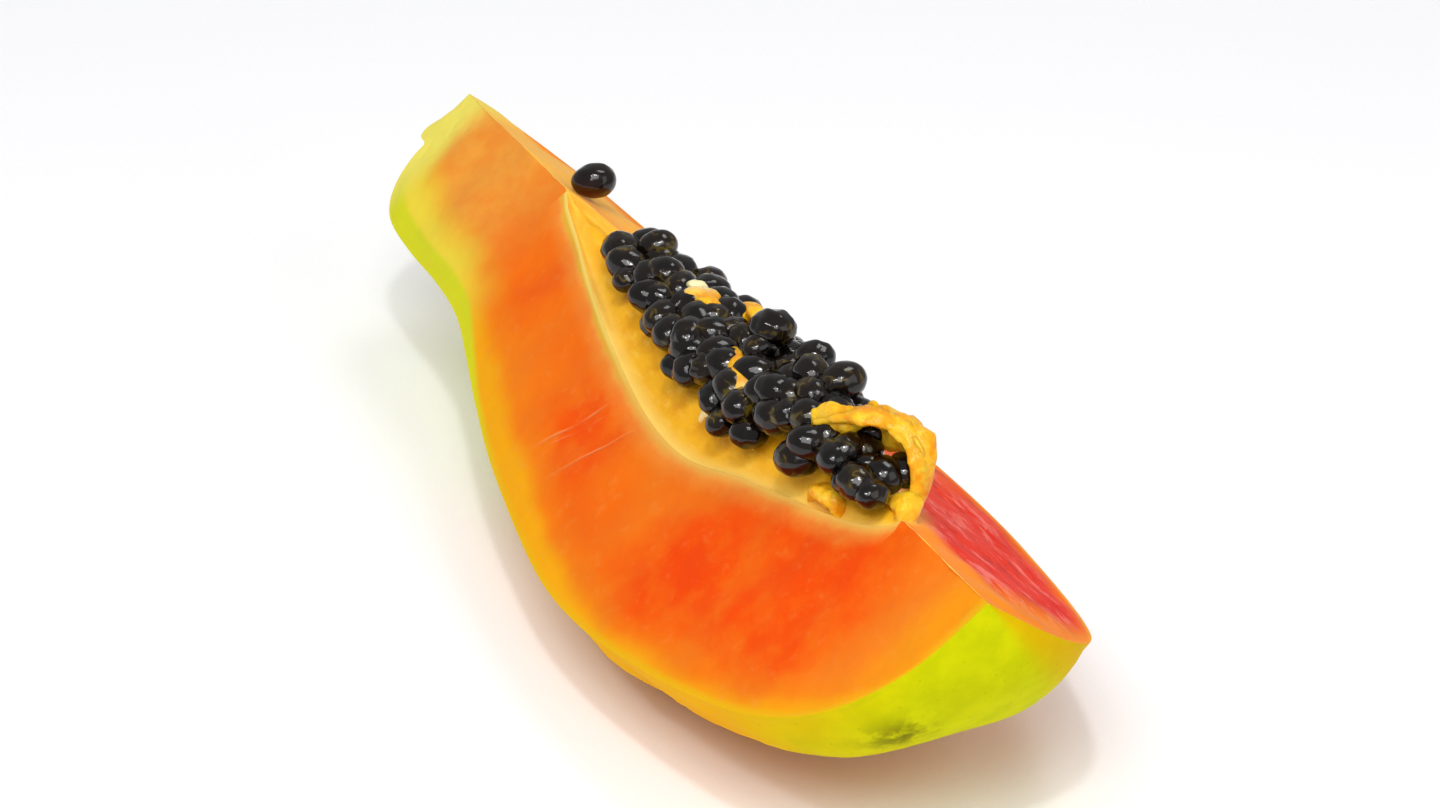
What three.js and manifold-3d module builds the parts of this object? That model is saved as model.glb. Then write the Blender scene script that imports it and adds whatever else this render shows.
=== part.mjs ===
// Papaya wedge: a long slice of a ripe fruit, cut lengthways, lying on its skin.
// Millimetres, +Z up. The fruit's axis runs along +X from the stem end to the blossom end.
import * as THREE from 'three';
import { mergeVertices } from 'three/addons/utils/BufferGeometryUtils.js';
import Module from 'manifold-3d';

const wasm = await Module();
wasm.setup();

// Driving dimensions in millimetres, angles in degrees.
const FRUIT_LENGTH = 195.7;
const WEDGE_ANGLE = 104;
const LIE_ANGLE = 2.5;
const FLAT_DEPTH = 0.55;
const LOBE_SHARE = 0.035;
const LOBE_START = 90;
const LOBE_FULL = 165;
const RIM_DROP = 1.5;
const PULP_POWER = 1.5;
const FAR_WIDER = 1.3;
const SEED_GAP = 0.35;
const SEED_WIDTH = 0.82;
const SEED_HEIGHT = 0.76;

// Outline of the near cut face from the stem scar to the blossom end: along the axis, radius.
const NEAR_OUTLINE = [
  [0, 0], [-0.2, 5], [-1.8, 9.3], [-1.2, 11.4], [1.2, 11.8], [1.5, 14.6], [3.1, 19.2], [6.4, 23.2],
  [11.8, 25.7], [22, 26.8], [34.4, 27.2], [45.3, 28.6], [55.7, 32.1], [67.2, 36.4], [85, 42],
  [112, 47.6], [131, 47.8], [150, 44.7], [163, 41.5], [172.6, 38.3], [181.3, 33.6], [188, 27.4],
  [192.6, 19.7], [195, 11.5], [FRUIT_LENGTH, 0],
];
// Outline of the far cut face, whose cut passed beside the stem, so that its neck is slim.
const FAR_OUTLINE = [
  [0, 0], [0.5, 2.5], [1.6, 5], [3.4, 6.4], [5.6, 6.9], [7.6, 8.2], [10.6, 10.5], [14.8, 13.2],
  [20, 15.8], [28, 18.6], [38, 21], [48, 25], [57, 29.8], [67.6, 34.8], [85, 40.8],
  [112, 46.6], [131, 47.2], [150, 43.8], [163, 40.6], [172.6, 37.4], [181.3, 33], [188, 27],
  [192.6, 19.5], [195, 11.4], [FRUIT_LENGTH, 0],
];
// Radius of the seed cavity along the axis.
const CAVITY_OUTLINE = [
  [40.7, 0], [46, 2.1], [53.8, 4.5], [66, 8.6], [82.7, 13.2], [103.2, 17.2], [118.1, 17.3],
  [131.8, 13.2], [142.5, 10.5], [152, 8], [160.1, 5.4], [165.5, 2.6], [168, 0],
];
// Height of the pulp's crest over the cavity's rim along the axis.
const PULP_RISE = [
  [40.7, 0.5], [54, 1.4], [66, 3.5], [80, 6.7], [95, 9.4], [110, 11.2], [125, 11.7], [138, 9.9],
  [150, 6.9], [160, 3.2], [168, 0.3],
];
// Seeds of the heap's top layer: along the axis, across it, length, turn, rise over the pulp.
const TOP_SEEDS = [
  [66.2, 0.2, 5.6, 30, 1], [71.6, 3.2, 6.8, 70, 3], [81, 0.2, 7.4, 20, 1.6], [75.8, -4, 6, 80, 0.6],
  [86, -3.6, 6.4, 40, 1], [91.6, -1.9, 5.2, 100, 2], [90.1, -6.4, 5, 20, 0.8],
  [98.4, 0.6, 6.4, 60, 1], [101.9, -5.5, 7.6, 150, 1.6], [105.2, 1.4, 5.6, 60, 2], [114.7, 3.4, 8.4, 30, 5],
  [116, 0.4, 6.4, 110, 3], [111.1, -6.8, 7.2, 20, 1], [103.4, -8, 6.2, 60, 0],
  [130.4, -3.9, 7.6, 20, 1.2], [118.1, -8.5, 6.8, 140, 1], [122.7, -9.3, 6.2, 100, 0.5],
  [129.8, -8.1, 6.6, 60, 0], [126.5, 5.2, 6.8, 50, 5], [135.9, 5.4, 8.2, 95, 4],
  [130.6, 2.5, 7.4, 165, 3], [135.5, 0.1, 7, 15, 2], [136.7, -4.2, 7, 70, 0.6],
  [143.6, -6.3, 8.2, 35, 0], [142, 1.5, 6.6, 120, 2], [151.6, -1.6, 6.4, 120, 2],
  [148.8, 4, 6.8, 10, 3], [157.6, 5.4, 7.4, 150, 4], [155.4, 0.5, 5.6, 60, 1.6],
  [155.8, -3.4, 6.2, 100, 0.8], [160.8, -2, 7, 140, 0],
];
// Lower layer of the heap: rows of seeds of one spacing, each a little out of place. It keeps
// clear of the near rim by a margin that narrows along the axis, and some places are left empty.
const LOWER_START = 67;
const LOWER_END = 160;
const LOWER_EMPTY = 0.07;
const NEAR_MARGIN = [[40, 5.4], [116, 5.4], [143, 2], [170, 2]];
const FAR_MARGIN = 4.4;
const LOWER_PITCH = 6;
const LOWER_ACROSS = 5.5;
const LOWER_LENGTH = 8;
// The seed that lies alone on the far face beside the ridge of the neck: centre and length.
const LONE_SEED = [41, 5.4, 0.2];
const LONE_LENGTH = 7.8;
// Flaps of torn pulp that stand between the seeds: path points of x, y and height from the
// axis, then width and thickness.
const PULP_FLAPS = [
  { path: [[139.5, -2.2, -4.5], [141, -1.6, 3.2], [145.5, -0.6, 7], [150, 2.4, 9.2],
    [154.6, 5.6, 9.4], [159, 7, 7.6], [161.6, 6.4, 4], [161.8, 4.4, -5]], wide: 6, thick: 2.6 },
  { path: [[108.5, -1, -4], [112, -2.6, 3.2], [119, -4.4, 3.2], [124, -5.4, 2.2], [127.4, -6.2, 0.4],
    [129, -6.6, -6]], wide: 3.8, thick: 2 },
  { path: [[86.5, -1, -5], [89.5, 1, 2.3], [93.5, 1.6, 3.4], [97.5, 0.4, 3], [100, 0, -3]],
    wide: 4.8, thick: 2.2 },
  { path: [[93, 5.5, -6], [95.5, 6.4, 0.6], [99, 7, 1.8], [102.5, 6.4, 1], [105, 5.5, -5]],
    wide: 4, thick: 2 },
  { path: [[146, -5, -8], [147.8, -4.8, -3.6], [151, -4.6, -3], [153.5, -4.2, -3.6], [155, -3.8, -8]],
    wide: 4.2, thick: 2.8 },
  { path: [[158, 4.4, -6], [159.8, 4, -1.4], [162, 3.2, -0.6], [164.2, 2.4, -1.2], [166, 1.6, -6]],
    wide: 5, thick: 3 },
];

const HALF = THREE.MathUtils.degToRad(WEDGE_ANGLE / 2);
const SIN = Math.sin(HALF);
const COS = Math.cos(HALF);

// A repeatable number from 0 to 1 for one whole number.
const draw = (n) => {
  const s = Math.sin(n * 12.9898 + 4.1414) * 43758.5453;
  return s - Math.floor(s);
};

// Value on an outline of [along, height] points at one place along it, by a smooth cubic.
const along = (outline, x) => {
  const last = outline.length - 1;
  if (x <= outline[0][0]) return outline[0][1];
  if (x >= outline[last][0]) return outline[last][1];
  let i = 0;
  while (outline[i + 1][0] < x) i += 1;
  const slope = (k) => {
    if (k === 0 || k === last) return 0;
    return (outline[k + 1][1] - outline[k - 1][1]) / (outline[k + 1][0] - outline[k - 1][0]);
  };
  const span = outline[i + 1][0] - outline[i][0];
  const t = (x - outline[i][0]) / span;
  const a = 2 * t ** 3 - 3 * t ** 2 + 1;
  const b = t ** 3 - 2 * t ** 2 + t;
  const c = t ** 3 - t ** 2;
  return a * outline[i][1] + b * span * slope(i) + (1 - a) * outline[i + 1][1] + c * span * slope(i + 1);
};

// Closed skin over rings of equal count, drawn together to one point at each end.
const loft = (rings, first, last) => {
  const n = rings[0].length;
  const points = [first, ...rings.flat(), last];
  const position = new Float32Array(points.flatMap((p) => [p.x, p.y, p.z]));
  const index = [];
  const end = points.length - 1;
  for (let j = 0; j < n; j += 1) {
    const k = (j + 1) % n;
    index.push(0, 1 + k, 1 + j);
    index.push(end, end - n + j, end - n + k);
    for (let i = 0; i < rings.length - 1; i += 1) {
      const a = 1 + i * n;
      index.push(a + j, a + k, a + n + k);
      index.push(a + j, a + n + k, a + n + j);
    }
  }
  const geometry = new THREE.BufferGeometry();
  geometry.setAttribute('position', new THREE.BufferAttribute(position, 3));
  geometry.setIndex(index);
  return geometry;
};

// Solid of a closed geometry.
const solid = (geometry) => {
  const bare = geometry.clone();
  bare.deleteAttribute('normal');
  bare.deleteAttribute('uv');
  const merged = mergeVertices(bare, 1e-5);
  return new wasm.Manifold(new wasm.Mesh({
    numProp: 3,
    vertProperties: new Float32Array(merged.attributes.position.array),
    triVerts: new Uint32Array(merged.index.array),
  }));
};

// Geometry of a solid.
const shown = (body) => {
  const mesh = body.getMesh();
  const geometry = new THREE.BufferGeometry();
  geometry.setAttribute('position', new THREE.BufferAttribute(new Float32Array(mesh.vertProperties), 3));
  geometry.setIndex(new THREE.BufferAttribute(new Uint32Array(mesh.triVerts), 1));
  return geometry;
};

// Whole fruit: the outlines of the two cut faces blended round the axis. Five faint ridges run
// to the blossom end, and the skin between two of them, on which the wedge lies, is flatter.
const NEAR_CURVE = new THREE.SplineCurve(NEAR_OUTLINE.map(([x, r]) => new THREE.Vector2(x, r)));
const FAR_CURVE = new THREE.SplineCurve(FAR_OUTLINE.map(([x, r]) => new THREE.Vector2(x, r)));
const RING = [];
for (let a = -60; a <= 60; a += 6) RING.push(a);
for (const a of [90, 130, 180, 230, 270]) RING.push(a);
const skinPoint = (t, degrees) => {
  const round = Math.min(Math.max(degrees / WEDGE_ANGLE + 0.5, 0), 1);
  const blend = round * round * (3 - 2 * round);
  const p = NEAR_CURVE.getPoint(t).lerp(FAR_CURVE.getPoint(t), blend);
  const phi = THREE.MathUtils.degToRad(degrees);
  const lobe = LOBE_SHARE * THREE.MathUtils.smoothstep(p.x, LOBE_START, LOBE_FULL);
  const r = p.y * (1 - lobe * (Math.cos(5 * phi) - 0.2));
  return new THREE.Vector3(p.x, r * Math.sin(phi), -r * Math.cos(phi));
};
const fruit = () => {
  const rings = [];
  const parts = 2 * (NEAR_OUTLINE.length - 1);
  for (let i = 1; i < parts; i += 1) rings.push(RING.map((a) => skinPoint(i / parts, a)));
  const first = new THREE.Vector3(0, 0, 0);
  const last = new THREE.Vector3(FRUIT_LENGTH, 0, 0);
  return solid(loft(rings, first, last));
};

// Prism between the two cut planes, which meet on the fruit's axis, pushed out by grow.
const sector = (grow) => {
  const reach = 90;
  const top = grow / SIN;
  const shape = new THREE.Shape();
  shape.moveTo(0, top);
  shape.lineTo(-reach * SIN, top - reach * COS);
  shape.lineTo(-reach * SIN, -reach);
  shape.lineTo(reach * SIN, -reach);
  shape.lineTo(reach * SIN, top - reach * COS);
  shape.closePath();
  const geometry = new THREE.ExtrudeGeometry(shape, { depth: FRUIT_LENGTH + 20, bevelEnabled: false });
  const turn = new THREE.Matrix4().makeBasis(
    new THREE.Vector3(0, 1, 0), new THREE.Vector3(0, 0, 1), new THREE.Vector3(1, 0, 0));
  geometry.applyMatrix4(turn);
  geometry.translate(-10, 0, 0);
  return solid(geometry);
};

// Seed cavity: five shallow corners round the axis, drawn in by grow.
const cavity = (grow) => {
  const rings = [];
  const start = CAVITY_OUTLINE[0][0];
  const stop = CAVITY_OUTLINE[CAVITY_OUTLINE.length - 1][0];
  const steps = 30;
  for (let i = 1; i < steps; i += 1) {
    const x = start + (stop - start) * (i / steps);
    const r = Math.max(along(CAVITY_OUTLINE, x) - grow, 0.15);
    rings.push(Array.from({ length: 20 }, (_, j) => {
      const phi = (j / 20) * 2 * Math.PI;
      const side = THREE.MathUtils.clamp(0.5 + (0.5 * Math.sin(phi)) / SIN, 0, 1);
      const rho = r * (1 + (FAR_WIDER - 1) * side) * (1 + 0.05 * Math.cos(5 * phi));
      return new THREE.Vector3(x, rho * Math.sin(phi), -rho * Math.cos(phi));
    }));
  }
  return solid(loft(rings, new THREE.Vector3(start + grow, 0, 0), new THREE.Vector3(stop - grow, 0, 0)));
};

// Top of the pulp that fills the cavity: a crown from rim to rim, wider on the far side.
const pulpHeight = (x, y) => {
  const near = along(CAVITY_OUTLINE, x);
  const r = y > 0 ? near * FAR_WIDER : near;
  const u = Math.min(Math.abs(y) / Math.max(r * SIN - 0.5, 0.3), 1.25);
  const crown = Math.sign(1 - u * u) * Math.abs(1 - u * u) ** PULP_POWER;
  return -(r * COS + RIM_DROP) + (along(PULP_RISE, x) + (r - near) * COS) * crown;
};
const pulp = (grow) => {
  const rings = [];
  const start = CAVITY_OUTLINE[0][0] + 1;
  const stop = CAVITY_OUTLINE[CAVITY_OUTLINE.length - 1][0] - 1;
  const steps = 34;
  for (let i = 0; i <= steps; i += 1) {
    const x = start + (stop - start) * (i / steps);
    const half = along(CAVITY_OUTLINE, x) * SIN;
    const left = -half - 1.5;
    const right = half * FAR_WIDER + 1.5;
    const ring = [];
    for (let j = 0; j <= 12; j += 1) {
      const y = j < 6 ? right * (1 - j / 6) : left * (j / 6 - 1);
      ring.push(new THREE.Vector3(x, y, pulpHeight(x, y) + grow));
    }
    ring.push(new THREE.Vector3(x, left, -30));
    ring.push(new THREE.Vector3(x, right, -30));
    rings.push(ring);
  }
  const first = new THREE.Vector3(start, 0, -8);
  const last = new THREE.Vector3(stop, 0, -8);
  return solid(loft(rings, first, last));
};

// One torn flap of pulp: a flat leaf of tapering width along a curved path.
const flap = ({ path, wide, thick }, grow) => {
  const curve = new THREE.CatmullRomCurve3(
    path.map(([x, y, z]) => new THREE.Vector3(x, y, z)));
  const rings = [];
  const steps = 8;
  for (let i = 1; i < steps; i += 1) {
    const t = i / steps;
    const p = curve.getPoint(t);
    const tangent = curve.getTangent(t);
    const side = new THREE.Vector3(0, 1, 0).addScaledVector(tangent, -tangent.y).normalize();
    const up = new THREE.Vector3().crossVectors(tangent, side);
    const a = (wide / 2) * Math.sin(Math.PI * t) ** 0.5 + grow;
    const b = (thick / 2) * Math.sin(Math.PI * t) ** 0.5 + grow;
    rings.push(Array.from({ length: 8 }, (_, j) => {
      const q = (j / 8) * 2 * Math.PI;
      return p.clone().addScaledVector(side, a * Math.cos(q)).addScaledVector(up, b * Math.sin(q));
    }));
  }
  return solid(loft(rings, curve.getPoint(0), curve.getPoint(1)));
};

// Flesh, skin, cavity wall and pulp, which grew as one piece.
const wedgeBody = (grow) => {
  let body = fruit().intersect(sector(grow));
  body = body.subtract(cavity(grow));
  body = body.add(pulp(grow * 0.6).intersect(fruit()));
  for (const one of PULP_FLAPS) body = body.add(flap(one, grow));
  return body;
};

// One seed: an egg-shaped solid of flat facets, turned in plan.
const seed = (shape, x, y, z, length, turn) => {
  const geometry = shape.clone();
  geometry.scale(length, length * SEED_WIDTH, length * SEED_HEIGHT);
  geometry.rotateZ(THREE.MathUtils.degToRad(turn));
  geometry.translate(x, y, z);
  return solid(geometry);
};

// Height of a seed's middle where it rests on the pulp, a little clear of it.
const restHeight = (x, y, length) => {
  const dx = (pulpHeight(x + 0.5, y) - pulpHeight(x - 0.5, y));
  const dy = (pulpHeight(x, y + 0.5) - pulpHeight(x, y - 0.5));
  const flat = (length * SEED_WIDTH) / 2;
  const tall = (length * SEED_HEIGHT) / 2;
  const steep = dx * dx + dy * dy;
  return pulpHeight(x, y) + Math.sqrt(flat * flat * steep + tall * tall) + SEED_GAP * Math.sqrt(1 + steep);
};

// Seeds of the heap: a lower layer of close rows, and the top layer on it, fused where they touch.
const TOP_SHAPE = new THREE.IcosahedronGeometry(0.5, 1);
const LOWER_SHAPE = new THREE.OctahedronGeometry(0.5, 1);
const seedList = () => {
  const list = [];
  let n = 0;
  for (let x = LOWER_START; x <= LOWER_END; x += LOWER_PITCH) {
    const half = along(CAVITY_OUTLINE, x) * SIN;
    const start = Math.min(along(NEAR_MARGIN, x) - half, 0);
    const stop = Math.max(half * FAR_WIDER - FAR_MARGIN, 0.1);
    let walked = LOWER_ACROSS * (1 - 0.6 * draw(x));
    for (let y = start; y <= stop; y += 0.1) {
      walked += Math.hypot(0.1, pulpHeight(x, y) - pulpHeight(x, y - 0.1));
      if (walked >= LOWER_ACROSS) {
        walked = 0;
        n += 1;
        const px = x + 2.4 * (draw(n + 200) - 0.5);
        const one = [LOWER_SHAPE, px, y, restHeight(px, y, LOWER_LENGTH), LOWER_LENGTH, 180 * draw(n + 400)];
        if (draw(n + 600) > LOWER_EMPTY) list.push(one);
      }
    }
  }
  for (const [x, y, length, turn, rise] of TOP_SEEDS) {
    list.push([TOP_SHAPE, x, y, restHeight(x, y, length) + rise, length, turn]);
  }
  return list;
};

// The wedge lies with its stem end a little low, so that its weight is over its small flat spot.
const laid = (body) => shown(body).rotateY(-THREE.MathUtils.degToRad(LIE_ANGLE));
const lying = laid(wedgeBody(0));
lying.computeBoundingBox();
const floor = new THREE.BoxGeometry(400, 200, 20);
floor.translate(100, 0, lying.boundingBox.min.z + FLAT_DEPTH - 10);
const wedge = shown(solid(lying).subtract(solid(floor)));

const keepOut = wedgeBody(SEED_GAP);
let heap = null;
for (const one of seedList()) {
  const body = seed(...one);
  heap = heap ? heap.add(body) : body;
}
heap = heap.subtract(keepOut);
const loner = seed(TOP_SHAPE, ...LONE_SEED, LONE_LENGTH, 65).subtract(keepOut);

// Materials: one plain colour for each solid.
const fleshMaterial = new THREE.MeshStandardMaterial({ color: '#f6781a', roughness: 0.42, metalness: 0 });
const seedMaterial = new THREE.MeshStandardMaterial({ color: '#17110d', roughness: 0.16, metalness: 0 });

const group = new THREE.Group();
const place = (geometry, name, material) => {
  const mesh = new THREE.Mesh(geometry, material);
  mesh.name = name;
  group.add(mesh);
};
place(wedge, 'flesh_wedge', fleshMaterial);
place(laid(heap), 'seed_cluster', seedMaterial);
place(laid(loner), 'lone_seed', seedMaterial.clone());

// The origin lies under the middle of the wedge, on the plane that it rests on.
const box = new THREE.Box3().setFromObject(group);
group.position.set(-(box.min.x + box.max.x) / 2, -(box.min.y + box.max.y) / 2, -box.min.z);

export default group;
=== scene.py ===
import math

import bpy
import numpy as np
from mathutils import Matrix


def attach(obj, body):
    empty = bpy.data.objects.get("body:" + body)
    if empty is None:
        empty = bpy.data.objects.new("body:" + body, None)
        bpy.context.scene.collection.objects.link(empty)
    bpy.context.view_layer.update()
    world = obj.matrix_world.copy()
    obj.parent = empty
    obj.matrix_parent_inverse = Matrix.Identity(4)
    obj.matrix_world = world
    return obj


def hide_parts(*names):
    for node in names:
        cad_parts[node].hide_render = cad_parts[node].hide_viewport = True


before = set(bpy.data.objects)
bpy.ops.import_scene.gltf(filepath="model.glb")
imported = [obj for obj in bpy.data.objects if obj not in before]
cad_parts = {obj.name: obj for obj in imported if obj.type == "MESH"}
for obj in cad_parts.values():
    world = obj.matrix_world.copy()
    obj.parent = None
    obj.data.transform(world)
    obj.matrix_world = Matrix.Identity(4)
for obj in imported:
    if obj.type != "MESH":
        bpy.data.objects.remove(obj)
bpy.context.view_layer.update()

# The wedge: flesh, peel and the wall of the seed cavity of one ripe papaya, grown as one piece.
# A knife cut it lengthways twice, through the fruit's axis and then 104 degrees further round.
# It lies on its skin, with its stem end a little low. The surface is one closed loft: at each
# place along the axis a loop runs over the near cut, round the skin, over the far cut and
# across the pulp.
MM = 0.001
FRUIT_LENGTH = 195.7
HALF_ANGLE = math.radians(104 / 2)
SIN_HALF = math.sin(HALF_ANGLE)
COS_HALF = math.cos(HALF_ANGLE)
LIE_ANGLE = math.radians(2.5)
STEM_PLACE = np.array([-96.9955, 0.3032, 41.4191])
RIB_SHARE = 0.035
RIB_SPAN = (90.0, 165.0)
RIBS_ROUND = 5
RIM_DROP = 1.5
PULP_POWER = 1.5
FAR_WIDER = 1.3
FLAT_FLOOR = 0.0
NEAR_OUTLINE = np.array([
    (0, 0), (-0.2, 5), (-1.8, 9.3), (-1.2, 11.4), (1.2, 11.8), (1.5, 14.6), (3.1, 19.2),
    (6.4, 23.2), (11.8, 25.7), (22, 26.8), (34.4, 27.2), (45.3, 28.6), (55.7, 32.1),
    (67.2, 36.4), (85, 42), (112, 47.6), (131, 47.8), (150, 44.7), (163, 41.5), (172.6, 38.3),
    (181.3, 33.6), (188, 27.4), (192.6, 19.7), (195, 11.5), (FRUIT_LENGTH, 0)])
FAR_OUTLINE = np.array([
    (0, 0), (0.5, 2.5), (1.6, 5), (3.4, 6.4), (5.6, 6.9), (7.6, 8.2), (10.6, 10.5),
    (14.8, 13.2), (20, 15.8), (28, 18.6), (38, 21), (48, 25), (57, 29.8), (67.6, 34.8),
    (85, 40.8), (112, 46.6), (131, 47.2), (150, 43.8), (163, 40.6), (172.6, 37.4),
    (181.3, 33), (188, 27), (192.6, 19.5), (195, 11.4), (FRUIT_LENGTH, 0)])
CAVITY_OUTLINE = np.array([
    (40.7, 0), (46, 2.1), (53.8, 4.5), (66, 8.6), (82.7, 13.2), (103.2, 17.2), (118.1, 17.3),
    (131.8, 13.2), (142.5, 10.5), (152, 8), (160.1, 5.4), (165.5, 2.6), (168, 0)])
PULP_RISE = np.array([
    (40.7, 0.5), (54, 1.4), (66, 3.5), (80, 6.7), (95, 9.4), (110, 11.2), (125, 11.7),
    (138, 9.9), (150, 6.9), (160, 3.2), (168, 0.3)])


def spline(points, t):
    """Catmull-Rom curve through points, spaced evenly in t from 0 to 1."""
    last = len(points) - 1
    place = np.clip(t, 0, 1) * last
    i = np.minimum(place.astype(int), last - 1)
    w = (place - i)[:, None]
    p0, p1 = points[np.maximum(i - 1, 0)], points[i]
    p2, p3 = points[i + 1], points[np.minimum(i + 2, last)]
    v0, v1 = (p2 - p0) / 2, (p3 - p1) / 2
    cubed, squared = 2 * p1 - 2 * p2 + v0 + v1, -3 * p1 + 3 * p2 - 2 * v0 - v1
    return cubed * w**3 + squared * w**2 + v0 * w + p1


def along(outline, x):
    """Height of an outline at x: a cubic with the neighbours' slope at each inner point."""
    xs, ys = outline[:, 0], outline[:, 1]
    slope = np.zeros(len(xs))
    slope[1:-1] = (ys[2:] - ys[:-2]) / (xs[2:] - xs[:-2])
    x = np.clip(x, xs[0], xs[-1])
    i = np.clip(np.searchsorted(xs, x) - 1, 0, len(xs) - 2)
    span = xs[i + 1] - xs[i]
    t = (x - xs[i]) / span
    a = 2 * t**3 - 3 * t**2 + 1
    b, c = t**3 - 2 * t**2 + t, t**3 - t**2
    return a * ys[i] + b * span * slope[i] + (1 - a) * ys[i + 1] + c * span * slope[i + 1]


def smooth(x, low, high):
    """Smooth step: 0 below low, 1 above high, with level ends."""
    t = np.clip((x - low) / (high - low), 0, 1)
    return t * t * (3 - 2 * t)


def waves(points, size, seed, count=28, stretch=(1, 1, 1)):
    """Relief of about unit height: sine waves of one size in seeded directions, added up."""
    draw = np.random.default_rng(seed)
    way = draw.normal(size=(count, 3))
    way /= np.linalg.norm(way, axis=1)[:, None]
    pace = 2 * np.pi / (size * draw.uniform(0.7, 1.4, count))
    phase = draw.uniform(0, 2 * np.pi, count)
    turn = (points / np.array(stretch)) @ (way * pace[:, None]).T + phase
    return np.sin(turn).sum(axis=-1) / math.sqrt(count / 2)


def pulp_height(x, y):
    """Crown of pulp between the rims of the cavity, wider on the far side."""
    near = along(CAVITY_OUTLINE, x)
    r = np.where(y > 0, near * FAR_WIDER, near)
    u = np.minimum(np.abs(y) / np.maximum(r * SIN_HALF - 0.5, 0.3), 1.25)
    crest = along(PULP_RISE, x) + (r - near) * COS_HALF
    crown = np.sign(1 - u * u) * np.abs(1 - u * u) ** PULP_POWER
    return -(r * COS_HALF + RIM_DROP) + crest * crown


def turned(points):
    """Turned as the wedge lies: its stem end dips by LIE_ANGLE."""
    c, s = math.cos(LIE_ANGLE), math.sin(LIE_ANGLE)
    x, y, z = points[..., 0], points[..., 1], points[..., 2]
    return np.stack([x * c - z * s, y, x * s + z * c], -1)


def lay(points):
    """From the fruit's own axis, in mm, to the part's frame, in metres."""
    return (turned(points) + STEM_PLACE) * MM


def ribbed(x, angle):
    """Share of the outline's radius that low ribs leave: a cosine that turns five times round the
    fruit and fades in along the axis."""
    return 1 - RIB_SHARE * smooth(x, *RIB_SPAN) * (np.cos(RIBS_ROUND * angle) - 0.2)


def wrapped_grid(rows, columns):
    """Corner numbers of a grid that closes on itself across its columns."""
    r, c = np.meshgrid(np.arange(rows - 1), np.arange(columns), indexing="ij")
    n = (c + 1) % columns
    quads = np.stack([r * columns + c, r * columns + n, (r + 1) * columns + n,
                      (r + 1) * columns + c], -1)
    return quads.reshape(-1, 4)


def capped_lofts(name, rings, firsts, lasts):
    """One object of closed skins, each over an array of rings and drawn together to one point at
    each end."""
    count, rows, columns = rings.shape[:3]
    points = np.concatenate([rings.reshape(count, -1, 3), firsts[:, None], lasts[:, None]], axis=1)
    size = rows * columns + 2
    c = np.arange(columns)
    n = (c + 1) % columns
    base = (rows - 1) * columns
    caps = np.concatenate([np.stack([np.full(columns, size - 2), n, c], -1),
                           np.stack([np.full(columns, size - 1), base + c, base + n], -1)])
    grid = wrapped_grid(rows, columns)
    faces = []
    for k in range(count):
        faces += (grid + k * size).tolist() + (caps + k * size).tolist()
    mesh = bpy.data.meshes.new(name)
    mesh.from_pydata(points.reshape(-1, 3).tolist(), [], faces)
    mesh.polygons.foreach_set("use_smooth", np.ones(len(mesh.polygons), dtype=bool))
    mesh.update()
    piece = bpy.data.objects.new(name, mesh)
    bpy.context.scene.collection.objects.link(piece)
    return piece


def number(piece, name, values):
    """Keeps one number for each vertex, for the materials to read."""
    layer = piece.data.attributes.new(name, "FLOAT", "POINT")
    layer.data.foreach_set("value", np.ascontiguousarray(values, dtype=np.float32).ravel())


# Places along the axis, spread evenly by the length of the near outline.
STATIONS = 300
FINE_STEPS = 4001
AXIS_WEIGHT = 0.3
fine = np.linspace(0, 1, FINE_STEPS)
near_fine = spline(NEAR_OUTLINE, fine)
step = np.linalg.norm(np.diff(near_fine, axis=0), axis=1)
step += AXIS_WEIGHT * np.abs(np.diff(near_fine[:, 0]))
walked = np.concatenate([[0], np.cumsum(step)])
t_rows = np.interp(np.linspace(0, walked[-1], STATIONS + 2)[1:-1], walked, fine)
near_skin, far_skin = spline(NEAR_OUTLINE, t_rows), spline(FAR_OUTLINE, t_rows)
AXIS_PLACES = np.array([0, 0.5, 1.2, 1.9, 3, 4.6, 6.8, 10.5, 16, 25, 36.2, 46.7, 56.4, 67.4, 85,
                        112, 131, 150, 163, 172.6, 181.3, 188, 192.6, 195, FRUIT_LENGTH])
axis_x = spline(np.stack([AXIS_PLACES, AXIS_PLACES * 0], -1), t_rows)[:, 0]

# Columns of the loop, zone by zone. Points crowd together near each corner.
NEAR_CUT, SKIN, FAR_CUT, PULP = range(4)
COLUMNS = (66, 104, 58, 62)
w_near, w_skin, w_far, w_pulp = ((1 - np.cos(np.linspace(0, np.pi, n, endpoint=False))) / 2
                                 for n in COLUMNS)
zone = np.repeat(np.arange(4), COLUMNS)
rim = along(CAVITY_OUTLINE, axis_x)
rim_far = rim * FAR_WIDER
x_col = axis_x[:, None]


def cut_face(skin_x, skin_r, rim_r, way, w):
    """Points of a cut face: straight out from the rim to the skin along one direction."""
    out = rim_r[:, None] + (skin_r - rim_r)[:, None] * w
    x = x_col + (skin_x - axis_x)[:, None] * w**2
    return np.stack([x, out * way[0], out * way[1]], -1), out


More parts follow.
